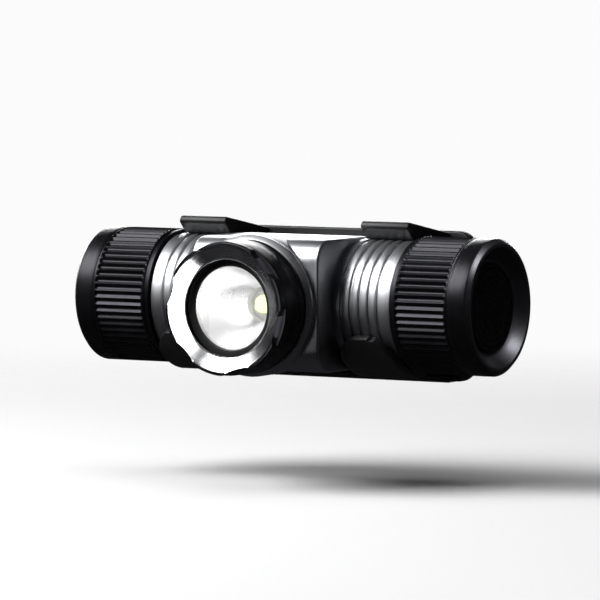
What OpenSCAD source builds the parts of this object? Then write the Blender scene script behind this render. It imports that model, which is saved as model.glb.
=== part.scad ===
// Right-angle helmet flashlight in a snap-in helmet bracket.
// The battery tube lies across the helmet (X), the lamp head looks forward (-Y), +Z is up.
// The origin is the middle of the bracket pad's rear face, level with the tube's axis.

/* [Battery] */
// Diameter of the wrapped cell
cell_d = 21.4; // [18:0.1:26]
// Length of the cell over its button
cell_l = 70; // [62:0.5:86]
// Thickness of the cell's plastic wrap
wrap_t = 0.15; // [0.1:0.05:0.3]
// Height of the cell's positive button
button_h = 0.8; // [0.5:0.1:1.5]

/* [Tube] */
// Gap between the cell and the bore
bore_gap = 0.4; // [0.2:0.1:0.8]
// Wall of the finned tube
tube_wall = 2.9; // [2.6:0.1:4]
// Wall of the threaded necks
neck_wall = 1.9; // [1.7:0.1:2.4]
// Length of each threaded neck
neck_l = 8.2; // [6:0.2:10]
// How far the tube's shoulder stands inside the end of the cell
shoulder_inset = 4.7; // [4:0.1:6]
// Number of cooling grooves on each side of the head
groove_n = 5; // [0:1:6]
// Width of a cooling groove
groove_w = 0.8; // [0.4:0.1:1.2]
// Depth of a cooling groove
groove_depth = 0.5; // [0.2:0.1:1]

/* [Head] */
// Diameter of the front glass
lens_d = 23; // [18:0.5:28]
// Thickness of the front glass
lens_t = 2.1; // [1.5:0.1:3]
// Wall of the head's threaded neck
head_wall = 1.6; // [1.3:0.1:2.2]
// Wall of the bezel's skirt
bezel_wall = 1.3; // [1:0.1:2]
// How far the collar stands out past the bezel
collar_step = 0.9; // [0.5:0.1:1.5]
// How far the block stands out past the collar, and above the tube
block_step = 0.5; // [0.2:0.1:1.5]
// Radius of the block's long front edges
block_round = 5; // [2:0.5:7]
// How far the block stands in front of the shelf under the driver
block_nose = 7.2; // [6.6:0.1:8.5]
// Depth of the reflector
reflector_depth = 8.4; // [7:0.2:12]
// Radius of the hole in the reflector's base
reflector_hole = 3; // [2.8:0.1:3.5]
// Number of scallops round the bezel's front edge
scallop_n = 6; // [0:1:8]
// Depth of a scallop
scallop_depth = 1.3; // [0.5:0.1:1.5]
// Radius of a scallop
scallop_r = 15; // [8:0.5:20]
// How far the bezel's rim stands in front of its lip
funnel_depth = 2.5; // [1:0.1:3.5]

/* [End caps] */
// Wall of an end cap
cap_wall = 1.9; // [1.5:0.1:3]
// Room round the click switch beyond its own height and travel
switch_room = 0.55; // [0.3:0.05:4]
// Number of knurl flutes round an end cap
flute_n = 60; // [24:1:72]
// Depth of a knurl flute
flute_depth = 0.45; // [0.2:0.05:0.6]
// Smooth band at the outer end of an end cap
smooth_l = 5.5; // [3:0.5:7]
// Depth of the recess round the switch boot
recess_depth = 2.6; // [2:0.1:3]
// Depth of the dish in the contact cap's end
dish_depth = 0.8; // [0.4:0.1:1.5]
// Thickness of the contact cap's end wall
end_wall = 2.4; // [1.6:0.1:3.5]
// Radius of the switch boot's dome
dome_r = 8.6; // [5:0.05:9]
// How far the switch button travels
press_travel = 0.8; // [0.4:0.1:1]

/* [Bracket] */
// Thickness of the clip arms
arm_t = 2.15; // [1.6:0.05:3]
// Gap between a clip arm and the tube
arm_gap = 0.08; // [0.04:0.01:0.1]
// Height above the tube's axis where the lower arms end, as a negative number
tab_top = -6; // [-8:0.5:-4]
// How far the upper arms reach forward of the tube's axis
lip_reach = 3.6; // [2:0.2:5]
// How far the lips rise above the arms
lip_rise = 1.9; // [1:0.1:3]
// Thickness of the back plate
plate_t = 2.4; // [2:0.1:4]
// Gap between the end caps and the back plate
plate_gap = 0.4; // [0.3:0.1:1]
// How far the back plate runs past the tube's shoulders
plate_over = 4.7; // [0:0.1:8]
// Radius of the back plate's corners
plate_round = 4; // [2:0.5:6]
// Thickness of the mounting pad
pad_t = 1.5; // [1:0.1:3]
// How far the pad stays inside the back plate's edge
pad_inset = 2; // [1:0.5:4]
// Screw spacing across the bracket
screw_dx = 22; // [18:1:24]
// Screw spacing up the bracket
screw_dz = 18; // [14:1:20]
// Radius of a screw hole
screw_r = 2.25; // [1.6:0.05:2.4]
// Radius of a screw hole's countersink
sink_r = 4.2; // [3.4:0.1:4.4]

/* [Hidden] */
$fn = 96;
eps = 0.01;
// Clearances and small standard sizes
thread_gap = 0.08;      // radial gap that stands for a thread
seat_gap = 0.1;         // gap round a part that drops into its seat
stop_gap = 0.3;         // gap between a tightened cap and its shoulder
side_gap = 0.5;         // gap beside a clip arm
chamfer = 1.0;          // chamfer on an end cap's outer edge
oring_d = 1.15;         // cord thickness of an end cap's O-ring
oring_slot = 1.5;       // width of its groove
oring_inset = 1;        // from the shoulder to the groove
oring_slack = 0.05;     // gap between the O-ring and the cap's bore
bezel_oring_r = 0.35;   // cord radius of the bezel's O-ring
// Boards, rings and small parts
board_t = 1;            // thickness of the boards in the caps
ring_t = 1.4;           // thickness of the retaining rings
ring_hole = 8;          // radius of the hole in a retaining ring
slot_w = 2;             // width of a spanner slot
web_t = 1.4;            // web of the switch cap that traps the boot
flange_t = 0.8;         // thickness of the boot's flange
skirt_t = 0.9;          // wall of the boot's skirt
boot_gap = 0.15;        // gap beside the boot's dome
dome_over = 0.8;        // how far the dome stays below the cap's rim
dome_rise = 1;          // height of the dome's crown
switch_w = 6.2;         // width of the click switch
switch_h = 2.6;         // height of the click switch
plunger_r = 1.8;        // radius of its plunger
plunger_sunk = 0.6;     // how deep the plunger sits in the switch
wire_d = 0.9;           // wire of the contact springs
spring_turns = 3;
spring_gap = 0.02;      // gap at each end of a spring
ring_gap = 0.05;        // from a cap's inner step to its retaining ring
holder_wall = 0.9;      // wall of the insulating contact holder
channel_w = 3.2;        // width of the strip's channel in the bore
channel_d = 0.5;        // depth of that channel
strip_t = 0.2;          // thickness of the positive strip
strip_gap = 0.1;        // gap under and beside the strip
tab_l = 2.8;            // length of the strip's contact tab
hole_r = 1.2;           // radius of the hole that the positive lead runs through
// Parts on the light engine, front to back
shelf_wall = 1.7;       // aluminium between the bore and the driver
part_h = 1;             // height of the parts on the driver board
driver_t = 0.8;         // thickness of the driver board
driver_gap = 0.5;       // from the driver board to the heat sink
sink_t = 1.5;           // thickness of the heat sink disc
led_board_t = 1.2;      // thickness of the LED board
led_board_r = 8;
spacer_t = 1;           // thickness of the LED centring ring
spacer_r = 4.2;
led_w = 3.5;            // width of the LED's ceramic base
led_t = 0.6;            // thickness of that base
die_w = 2.2;            // width of the phosphor square
die_t = 0.1;
led_dome_r = 1.7;       // radius of the LED's dome
lead_r = 0.45;          // radius of an LED lead
lead_x = 6.2;           // from the middle to an LED lead
flange_w = 0.9;         // rim of the reflector
shell_t = 0.7;          // wall of the reflector
gasket_t = 0.8;         // thickness of the lens gasket in front of the glass
gasket_in = 2.45;       // from the glass's edge to the gasket's inner edge
lip_t = 0.8;            // thickness of the bezel's lip
lip_in = 0.9;           // from the glass's edge to the bezel's lip
lip_edge = 1.4;         // height of the lip's inner edge
collar_l = 1.6;         // length of the collar's straight part
collar_taper = 1;       // length of its taper
oring_room = 0.7;       // between the collar and the bezel
rim_w = 0.4;            // width of the flat on the bezel's rim
rim_edge = 0.4;         // chamfer round the rim
scallop_l = 2;          // how far back the scallops run

// Radii about the tube's axis
bore_r = cell_d / 2 + bore_gap;
tube_r = bore_r + tube_wall;
neck_r = bore_r + neck_wall;
cap_bore = neck_r + thread_gap;
cap_r = cap_bore + cap_wall;
insert_r = bore_r - 0.1;             // bore in the caps for boards and rings
fit_r = insert_r - seat_gap / 2;     // what drops into that bore
clip_in = tube_r + arm_gap;
clip_out = clip_in + arm_t;
block_r = tube_r + block_step;

// Radii about the head's axis
lens_r = lens_d / 2;
head_bore = lens_r + seat_gap;
head_neck = head_bore + head_wall;
bezel_bore = head_neck + thread_gap;
bezel_r = bezel_bore + bezel_wall;
collar_r = bezel_r + collar_step;
block_half = collar_r + block_step;

// Places forward of the tube's axis
shelf_h = bore_r + shelf_wall;
driver_h = shelf_h + part_h + seat_gap;
sink_h = driver_h + driver_t + driver_gap;
led_board_h = sink_h + sink_t;
led_h = led_board_h + led_board_t;
reflector_h = led_h + spacer_t;
rim_h = reflector_h + reflector_depth;
lens_front = rim_h + lens_t;
lip_h = lens_front + gasket_t;
bezel_front = lip_h + lip_t + funnel_depth;
block_front = shelf_h + block_nose;
collar_front = block_front + collar_l + collar_taper;
bezel_back = collar_front + oring_room;
flange_t_refl = 1;                   // thickness of the reflector's rim
head_front = rim_h - flange_t_refl - seat_gap;

// Places along the tube
shoulder_x = cell_l / 2 - shoulder_inset;
neck_end = shoulder_x + neck_l;
cell_end = cell_l / 2;
cap_in = shoulder_x + stop_gap;
cap_step = neck_end + stop_gap;      // where a cap's wide bore ends
ring_x = cap_step + ring_gap;
board_x = ring_x + ring_t;
switch_x = board_x + board_t;
flange_x = switch_x + switch_h + press_travel + switch_room;
web_in = flange_x + flange_t;
web_out = web_in + web_t;
cap_out = web_out + recess_depth;
cap_l = cap_out - cap_in;
dome_top = cap_out - dome_over;
wall_x = cap_out - dish_depth - end_wall;
groove_l = shoulder_x - block_half;  // length of the finned stretch
clip_x = (shoulder_x + block_half) / 2;
arm_w = groove_l - 2 * side_gap;
lip_w = arm_w - 1.3;

// Places behind the tube's axis
plate_y = cap_r + plate_gap;
plate_back = plate_y + plate_t;
axis_y = plate_back + pad_t;
plate_half = shoulder_x + plate_over;
plate_top = tube_r + 1.3;
plate_low = clip_out + 1.7;
arm_slope = 0.6;                     // from the plate's top to where the upper arms meet it
foot_t = 1.4;
foot_depth = 6;

// Local z runs forward from the tube's axis
module ahead() translate([0, -axis_y, 0]) rotate([90, 0, 0]) children();

// Local z runs out along the tube, to the switch cap (side 1) or the contact cap (side -1)
module outward(side)
    translate([0, -axis_y, 0]) mirror([side < 0 ? 1 : 0, 0, 0]) rotate([0, 90, 0]) children();

// A side view (y, z about the tube's axis) pushed along X, from x0 over a length
module along_x(x0, len) translate([x0, -axis_y, 0]) rotate([90, 0, 90]) linear_extrude(len) children();

module ring(h, r_out, r_in, z = 0) {
    translate([0, 0, z]) difference() {
        cylinder(h = h, r = r_out);
        translate([0, 0, -1]) cylinder(h = h + 2, r = r_in);
    }
}

module torus(ring_radius, cord_radius)
    rotate_extrude() translate([ring_radius, 0]) circle(cord_radius, $fn = 32);

// A flat bar from p to q with round ends
module bar(p, q, w) {
    v = q - p;
    translate(p) rotate(atan2(v[1], v[0])) translate([0, -w / 2]) square([norm(v), w]);
    translate(p) circle(w / 2);
    translate(q) circle(w / 2);
}

// ---- Bracket ----------------------------------------------------------------

module clip_ring() difference() {
    circle(clip_out);
    circle(clip_in);
}

// Upper arm: over the top of the tube to a lip that flares up and forward. Its top slopes back to the plate.
module upper_arm_side() {
    difference() {
        polygon([[-1, 0], [-1, clip_out], [arm_t / 2 - lip_reach, clip_in + arm_t + lip_rise],
                 [plate_y + plate_gap, plate_top - arm_slope], [plate_y + plate_gap, 0]]);
        circle(clip_in);
    }
    bar([-0.6, clip_in + arm_t / 2], [arm_t / 2 - lip_reach, clip_in + arm_t / 2 + lip_rise], arm_t);
}

// Lower arm: under the tube and up its front as a tab
module lower_arm_side() intersection() {
    clip_ring();
    union() {
        translate([-clip_out, -clip_out]) square([clip_out + 1, clip_out + tab_top]);
        translate([0, -clip_out]) square([clip_out, clip_out + 1]);
    }
}

// Front outline of a lower arm, whose tab ends in a half circle
module tab_outline() {
    r = arm_w / 2;
    translate([0, tab_top - r]) circle(r);
    translate([-r, -2 * clip_out]) square([arm_w, 2 * clip_out + tab_top - r]);
}

module lower_arm(x) intersection() {
    along_x(x - arm_w / 2, arm_w) lower_arm_side();
    union() {
        translate([x, -axis_y + eps, 0]) rotate([90, 0, 0]) linear_extrude(2 * clip_out) tab_outline();
        translate([x - arm_w, -axis_y, -2 * clip_out]) cube([2 * arm_w, 2 * clip_out, 4 * clip_out]);
    }
}

// A rounded rectangle in the mounting plane, t thick, from y0 back
module panel(half, low, high, round_r, y0, t) {
    translate([0, y0 + t - axis_y, 0]) rotate([90, 0, 0]) linear_extrude(t) {
        translate([-half, round_r - low]) square([2 * half, high + low - 2 * round_r]);
        translate([round_r - half, -low]) square([2 * (half - round_r), high + low]);
        for (sx = [-1, 1], z = [round_r - low, high - round_r])
            translate([sx * (half - round_r), z]) circle(round_r);
    }
}

module at_screws() for (sx = [-1, 1], sz = [-1, 1])
    translate([sx * screw_dx / 2, 0, sz * screw_dz / 2]) rotate([90, 0, 0]) children();

module bracket() color([0.07, 0.07, 0.07]) difference() {
    union() {
        panel(plate_half, plate_low, plate_top, plate_round, plate_y, plate_t);
        translate([plate_round - plate_half, plate_back - foot_depth - axis_y, -plate_low])
            cube([2 * (plate_half - plate_round), foot_depth, foot_t]);
        for (sx = [-1, 1]) {
            along_x(sx * clip_x - lip_w / 2, lip_w) upper_arm_side();
            lower_arm(sx * clip_x);
        }
    }
    at_screws() {
        translate([0, 0, -1]) cylinder(h = plate_t + pad_t + 2, r = screw_r);
        translate([0, 0, pad_t + plate_t - (sink_r - screw_r)])
            cylinder(h = sink_r - screw_r + eps, r1 = screw_r, r2 = sink_r + eps);
    }
}

module mount_pad() color([0.16, 0.16, 0.17]) difference() {
    panel(plate_half - pad_inset, plate_low - pad_inset, plate_top - pad_inset,
          plate_round - pad_inset / 2, plate_back, pad_t);
    at_screws() translate([0, 0, -1]) cylinder(h = pad_t + 2, r = screw_r);
}

// ---- Body -------------------------------------------------------------------

// Side view of the block: round behind, flat above, below and in front, with round front edges
module block_side() {
    circle(block_r);
    translate([block_round - block_front, -block_r]) square([block_front - block_round, 2 * block_r]);
    translate([-block_front, block_round - block_r]) square([block_front, 2 * (block_r - block_round)]);
    for (sz = [-1, 1])
        translate([block_round - block_front, sz * (block_r - block_round)]) circle(block_round);
}

module body() color([0.60, 0.61, 0.63]) difference() {
    union() {
        outward(1) translate([0, 0, -shoulder_x]) cylinder(h = 2 * shoulder_x, r = tube_r);
        outward(1) translate([0, 0, -neck_end]) cylinder(h = 2 * neck_end, r = neck_r);
        along_x(-block_half, 2 * block_half) block_side();
        ahead() {
            translate([0, 0, block_front - block_round])
                cylinder(h = block_round + collar_l, r = collar_r);
            translate([0, 0, block_front + collar_l])
                cylinder(h = collar_taper, r1 = collar_r, r2 = bezel_r);
            translate([0, 0, shelf_h]) cylinder(h = head_front - shelf_h, r = head_neck);
        }
    }
    outward(1) translate([0, 0, -neck_end - 1]) cylinder(h = 2 * neck_end + 2, r = bore_r);
    ahead() translate([0, 0, shelf_h]) cylinder(h = head_front, r = head_bore);
    ahead() translate([-lead_x, 0, 0]) cylinder(h = shelf_h + 1, r = hole_r);
    translate([-neck_end - 1, -axis_y - bore_r - channel_d, -channel_w / 2])
        cube([neck_end + 1 - lead_x + hole_r, bore_r + channel_d, channel_w]);
    for (side = [-1, 1]) outward(side) {
        for (i = [1 : groove_n])
            ring(groove_w, tube_r + 1, tube_r - groove_depth,
                 block_half + i * (groove_l - 1) / (groove_n + 1) - groove_w / 2);
        ring(oring_slot, neck_r + 1, neck_r + thread_gap - oring_slack - oring_d, shoulder_x + oring_inset);
        translate([0, 0, neck_end - 0.6]) difference() {
            cylinder(h = 1, r = neck_r + 1);
            cylinder(h = 0.6 + eps, r1 = neck_r + eps, r2 = neck_r - 0.6);
        }
    }
}

module cap_oring(side) color([0.05, 0.05, 0.05]) outward(side)
    translate([0, 0, shoulder_x + oring_inset + oring_slot / 2])
        torus(cap_bore - oring_slack - oring_d / 2, oring_d / 2 - eps);

module switch_cap_oring() cap_oring(1);
module contact_cap_oring() cap_oring(-1);

// ---- Head -------------------------------------------------------------------

module bezel() color([0.10, 0.10, 0.11]) ahead() difference() {
    rotate_extrude() polygon([
        [bezel_bore, bezel_back], [bezel_r, bezel_back], [bezel_r, bezel_front - rim_edge],
        [bezel_r - rim_edge, bezel_front], [bezel_r - rim_edge - rim_w, bezel_front],
        [lens_r - lip_in, lip_h + lip_edge], [lens_r - lip_in, lip_h],
        [head_bore + seat_gap, lip_h], [head_bore + seat_gap, head_front + 0.2],
        [bezel_bore, head_front + 0.2]]);
    for (i = [1 : scallop_n]) rotate(i * 360 / scallop_n + 45)
        translate([bezel_r + scallop_r - scallop_depth, 0, bezel_front - scallop_l])
            cylinder(h = scallop_l + 1, r = scallop_r);
}

module bezel_oring() color([0.05, 0.05, 0.05]) ahead()
    translate([0, 0, collar_front + oring_room / 2])
        torus(head_neck + bezel_oring_r + 0.05, bezel_oring_r - eps);

module lens_gasket() color([0.05, 0.05, 0.05]) ahead()
    ring(gasket_t, head_bore, lens_r - gasket_in, lens_front);

module lens() color([0.85, 0.92, 0.95, 0.4]) ahead()
    translate([0, 0, rim_h]) cylinder(h = lens_t, r = lens_r);

// Inner radius of the reflector at height h above its base: a parabola
reflector_rim = lens_r - flange_w - 0.3;
function bowl_r(h) = sqrt(pow(reflector_hole, 2)
    + (pow(reflector_rim, 2) - pow(reflector_hole, 2)) * h / reflector_depth);

module reflector() color([0.9, 0.9, 0.92]) ahead() translate([0, 0, reflector_h]) {
    steps = 12;
    top = reflector_depth - flange_t_refl;
    inner = [for (i = [0 : steps]) let (h = i * reflector_depth / steps) [bowl_r(h), h]];
    outer = [for (i = [steps : -1 : 0]) let (h = i * top / steps) [bowl_r(h) + shell_t, h]];
    rotate_extrude() polygon(concat(inner,
        [[lens_r - seat_gap, reflector_depth], [lens_r - seat_gap, top]], outer));
}

module led_spacer() color([0.92, 0.92, 0.90]) ahead() ring(spacer_t, spacer_r, led_w / 2 * 1.5, led_h);

module led_base() color([0.85, 0.85, 0.80]) ahead()
    translate([-led_w / 2, -led_w / 2, led_h]) cube([led_w, led_w, led_t]);

module led_phosphor() color([0.95, 0.85, 0.25]) ahead()
    translate([-die_w / 2, -die_w / 2, led_h + led_t]) cube([die_w, die_w, die_t]);

module led_dome() color([0.95, 0.95, 0.85, 0.5]) ahead() translate([0, 0, led_h + led_t]) difference() {
    sphere(led_dome_r);
    translate([-led_w, -led_w, -led_w]) cube([2 * led_w, 2 * led_w, led_w]);
    translate([-die_w / 2, -die_w / 2, -1]) cube([die_w, die_w, 1 + die_t]);
}

module led_board() color([0.75, 0.45, 0.28]) ahead() difference() {
    translate([0, 0, led_board_h]) cylinder(h = led_board_t, r = led_board_r);
    for (sx = [-1, 1]) translate([sx * lead_x, 0, led_board_h - 1])
        cylinder(h = led_board_t + 2, r = lead_r + 0.15);
}

// Two leads rise from the driver board through the heat sink to the LED board
module led_leads() color([0.75, 0.1, 0.1]) ahead() for (sx = [-1, 1])
    translate([sx * lead_x, 0, driver_h + driver_t]) {
        cylinder(h = led_h - driver_h - driver_t, r = lead_r);
        translate([0, 0, led_h - driver_h - driver_t]) sphere(lead_r, $fn = 32);
    }

module heat_sink() color([0.70, 0.70, 0.72]) ahead() difference() {
    translate([0, 0, sink_h]) cylinder(h = sink_t, r = head_bore - 0.02);
    for (sx = [-1, 1]) translate([sx * lead_x, 0, sink_h - 1]) cylinder(h = sink_t + 2, r = lead_r + 0.4);
}

module driver_board() color([0.05, 0.30, 0.15]) ahead()
    translate([0, 0, driver_h]) cylinder(h = driver_t, r = head_bore - 0.3);

// Inductor, controller, two transistors and a row of capacitors behind the driver board
module driver_parts() color([0.15, 0.15, 0.16]) ahead() translate([0, 0, driver_h - part_h]) {
    translate([3.5, 0, 0]) cylinder(h = part_h, r = 2.4);
    translate([-3.5, -2, 0]) cube([4, 4, part_h * 0.8]);
    for (y = [-6, 4]) translate([-2, y, part_h * 0.2]) cube([3, 2, part_h * 0.8]);
    for (i = [0 : 2]) translate([5 - i * 1.8, 5 + i * 0.9, part_h * 0.4]) cube([1.2, 0.7, part_h * 0.6]);
}

// Insulated copper strip along the bore: its tab stands across the tube's end, for the contact ring
strip_top = bore_r + channel_d - strip_gap;
module positive_strip() color([0.85, 0.55, 0.25]) translate([0, -axis_y, strip_gap - channel_w / 2]) {
    translate([-neck_end - strip_t, -strip_top, 0])
        cube([neck_end + strip_t - lead_x + hole_r / 2, strip_t, channel_w - 2 * strip_gap]);
    translate([-neck_end - strip_t, -strip_top, 0]) cube([strip_t, tab_l, channel_w - 2 * strip_gap]);
}

module positive_lead() color([0.75, 0.1, 0.1]) ahead()
    translate([-lead_x, 0, strip_top]) cylinder(h = driver_h - strip_top, r = lead_r);

// ---- Cell -------------------------------------------------------------------

can_r = cell_d / 2 - wrap_t;
module cell_can() color([0.75, 0.76, 0.78]) outward(1) difference() {
    translate([0, 0, button_h - cell_end]) cylinder(h = cell_l - button_h, r = can_r);
    translate([0, 0, button_h - cell_end + 3.4]) torus(can_r + 0.2, 0.8);
}

module cell_wrap() color([0.10, 0.30, 0.60]) outward(1)
    ring(cell_l - button_h - 0.6, cell_d / 2, can_r, 0.3 + button_h - cell_end);

module cell_button() color([0.80, 0.80, 0.78]) outward(1)
    translate([0, 0, -cell_end]) cylinder(h = button_h, r = 4);

module cell_insulator() color([0.92, 0.92, 0.90]) outward(1)
    ring(0.3, can_r - 0.8, 4.6, button_h - cell_end - 0.3);

// ---- End caps ---------------------------------------------------------------

module fluted_disc() difference() {
    circle(cap_r);
    for (i = [1 : flute_n]) rotate(i * 360 / flute_n)
        translate([cap_r + 0.3, 0]) circle(flute_depth + 0.3, $fn = 24);
}

// Outside of an end cap with its wide threaded bore; z runs out from its open end
module cap_shell() {
    fluted_l = cap_l - smooth_l - 1.2;
    difference() {
        union() {
            cylinder(h = 1.2, r = cap_r - 0.3);
            translate([0, 0, 1.2]) linear_extrude(fluted_l) fluted_disc();
            translate([0, 0, cap_l - smooth_l]) cylinder(h = smooth_l - chamfer, r = cap_r);
            translate([0, 0, cap_l - chamfer]) cylinder(h = chamfer, r1 = cap_r, r2 = cap_r - chamfer);
        }
        translate([0, 0, -1]) cylinder(h = cap_step - cap_in + 1, r = cap_bore);
    }
}

module switch_cap() color([0.06, 0.06, 0.07]) outward(1) difference() {
    translate([0, 0, cap_in]) cap_shell();
    translate([0, 0, cap_in]) cylinder(h = web_in - cap_in, r = insert_r);
    translate([0, 0, cap_in]) cylinder(h = cap_l + 1, r = dome_r + boot_gap + skirt_t + seat_gap);
    translate([0, 0, web_out])
        cylinder(h = recess_depth + eps, r1 = insert_r - 0.4, r2 = cap_r - chamfer - 0.8);
}

module contact_cap() color([0.06, 0.06, 0.07]) outward(-1) difference() {
    translate([0, 0, cap_in]) cap_shell();
    translate([0, 0, cap_in]) cylinder(h = wall_x - cap_in, r = insert_r);
    translate([0, 0, cap_out - dish_depth])
        cylinder(h = dish_depth + eps, r1 = cap_r - chamfer - 2.4, r2 = cap_r - chamfer - 0.8);
}

// Threaded brass ring with a spanner slot across its inner face
module retaining_ring(side, r) color([0.80, 0.68, 0.35]) outward(side) difference() {
    ring(ring_t, r, ring_hole, ring_x);
    translate([-slot_w / 2, -r - 1, ring_x - 1]) cube([slot_w, 2 * r + 2, ring_t / 2 + 1]);
}

// A conical coil from radius r0 at its foot to r1 at height h; u runs from 0 to 1
function coil_point(u, r0, r1, h) = let (a = 360 * spring_turns * u, r = r0 + (r1 - r0) * u)
    [r * cos(a), r * sin(a), wire_d / 2 + (h - wire_d) * u];

module coil(r0, r1, h) {
    sides = 8;
    per_turn = 20;
    n = spring_turns * per_turn;
    path = [for (i = [0 : n]) coil_point(i / n, r0, r1, h)];
    points = [for (i = [0 : n]) let (
            ahead_p = path[min(n, i + 1)], back_p = path[max(0, i - 1)],
            t = (ahead_p - back_p) / norm(ahead_p - back_p),
            out = [cos(360 * i / per_turn), sin(360 * i / per_turn), 0],
            side = cross(t, out) / norm(cross(t, out)), up = cross(side, t))
        each [for (k = [0 : sides - 1]) path[i]
            + wire_d / 2 * (cos(360 * k / sides) * up + sin(360 * k / sides) * side)]];
    walls = [for (i = [0 : n - 1], k = [0 : sides - 1]) let (m = (k + 1) % sides)
        [i * sides + k, i * sides + m, (i + 1) * sides + m, (i + 1) * sides + k]];
    start = [for (k = [sides - 1 : -1 : 0]) k];
    finish = [for (k = [0 : sides - 1]) n * sides + k];
    polyhedron(points, concat(walls, [start, finish]), convexity = 6);
}

module end_spring(side, tip_r) color([0.85, 0.70, 0.35]) outward(side)
    translate([0, 0, board_x - spring_gap]) mirror([0, 0, 1])
        coil(ring_hole - wire_d, tip_r, board_x - cell_end - 2 * spring_gap);

// Rubber boot: a flange trapped behind the cap's web, with a skirt through the web's hole
module switch_boot() color([0.05, 0.05, 0.05]) outward(1) {
    ring(flange_t, fit_r, dome_r + boot_gap, flange_x);
    ring(web_t + 0.8, dome_r + boot_gap + skirt_t, dome_r + boot_gap, flange_x + flange_t - eps);
}

// The part of the boot that a finger pushes in
module boot_dome() color([0.08, 0.08, 0.08]) outward(1) {
    seat = flange_x + flange_t;
    crown = (pow(dome_r, 2) + pow(dome_rise, 2)) / (2 * dome_rise);
    intersection() {
        translate([0, 0, seat]) cylinder(h = dome_top - seat, r = dome_r);
        translate([0, 0, dome_top - crown]) sphere(crown, $fn = 128);
    }
}

module switch_carrier() color([0.85, 0.85, 0.82]) outward(1)
    ring(flange_x - switch_x, fit_r, dome_r + boot_gap + 0.4, switch_x);

module click_switch() color([0.10, 0.10, 0.10]) outward(1) difference() {
    translate([-switch_w / 2, -switch_w / 2, switch_x]) cube([switch_w, switch_w, switch_h]);
    translate([0, 0, switch_x + switch_h - plunger_sunk - press_travel - 0.2])
        cylinder(h = switch_h, r = plunger_r + 0.05);
}

module click_plunger() color([0.75, 0.15, 0.10]) outward(1) {
    foot = switch_x + switch_h - plunger_sunk;
    translate([0, 0, foot]) cylinder(h = flange_x + flange_t - foot, r = plunger_r);
}

module switch_board() color([0.05, 0.30, 0.15]) outward(1)
    translate([0, 0, board_x]) cylinder(h = board_t, r = fit_r);

module switch_ring() retaining_ring(1, fit_r);
module switch_spring() end_spring(1, 4);

// Plastic cup that keeps the contact board and its ring off the cap
holder_r = fit_r - holder_wall;
module contact_holder() color([0.90, 0.90, 0.86]) outward(-1) {
    ring(wall_x - ring_x, fit_r, holder_r + seat_gap, ring_x);
    ring(wall_x - switch_x, holder_r + 2 * seat_gap, ring_hole, switch_x);
}

module contact_board() color([0.05, 0.30, 0.15]) outward(-1)
    translate([0, 0, board_x]) cylinder(h = board_t, r = holder_r);

module contact_ring() retaining_ring(-1, holder_r);
module contact_spring() end_spring(-1, 3);

bracket();
mount_pad();
body();
switch_cap_oring();
contact_cap_oring();
bezel();
bezel_oring();
lens_gasket();
lens();
reflector();
led_spacer();
led_base();
led_phosphor();
led_dome();
led_board();
led_leads();
heat_sink();
driver_board();
driver_parts();
positive_strip();
positive_lead();
cell_can();
cell_wrap();
cell_button();
cell_insulator();
switch_cap();
switch_boot();
boot_dome();
switch_carrier();
click_switch();
click_plunger();
switch_board();
switch_ring();
switch_spring();
contact_cap();
contact_holder();
contact_board();
contact_ring();
contact_spring();
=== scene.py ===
import math

import bmesh
import bpy
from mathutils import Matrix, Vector


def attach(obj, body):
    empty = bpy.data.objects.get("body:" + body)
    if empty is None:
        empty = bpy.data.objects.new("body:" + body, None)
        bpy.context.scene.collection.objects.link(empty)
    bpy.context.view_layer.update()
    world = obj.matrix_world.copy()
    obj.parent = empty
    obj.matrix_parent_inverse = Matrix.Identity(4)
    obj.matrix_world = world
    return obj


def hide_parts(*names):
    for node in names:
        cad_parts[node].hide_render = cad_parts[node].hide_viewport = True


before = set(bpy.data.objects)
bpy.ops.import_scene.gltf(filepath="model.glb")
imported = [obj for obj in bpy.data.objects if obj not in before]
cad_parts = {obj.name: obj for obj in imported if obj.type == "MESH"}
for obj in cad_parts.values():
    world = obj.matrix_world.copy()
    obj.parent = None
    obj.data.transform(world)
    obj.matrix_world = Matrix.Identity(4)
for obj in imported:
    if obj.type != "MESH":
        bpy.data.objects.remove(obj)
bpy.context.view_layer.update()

# ---- Bracket ----------------------------------------------------------------
# The bracket is one moulding: a back plate, and two pairs of arms that spring round the tube.
# It is glass-filled nylon in black, from a spark-eroded mould, and screws through the helmet's pad.
axis_y = -19.28
clip_mid, clip_half, clip_r, arm_line, arm_thick, tab_half = 23.14, 6, 14.08, 15.155, 2.15, 6.65
plate_half, plate_top, plate_low, plate_round = 35, 15.3, -17.93, 4
screw_x, screw_z, screw_r = 11, 9, 2.25


def solid(name, points, faces):
    """A closed mesh from points in millimetres, with its faces turned outward."""
    mesh = bpy.data.meshes.new(name)
    mesh.from_pydata([[c / 1000 for c in p] for p in points], [], faces)
    shape = bmesh.new()
    shape.from_mesh(mesh)
    bmesh.ops.remove_doubles(shape, verts=shape.verts, dist=1e-6)
    bmesh.ops.recalc_face_normals(shape, faces=shape.faces)
    shape.to_mesh(mesh)
    shape.free()
    piece = bpy.data.objects.new(name, mesh)
    bpy.context.scene.collection.objects.link(piece)
    return piece


def across(a, b, c):
    """A side view (behind the tube's axis, above it) placed at c along the tube."""
    return c, axis_y + a, b


def back_to_front(a, b, c):
    """A front view (across, up) placed at c behind the tube's axis."""
    return a, axis_y + c, b


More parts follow.
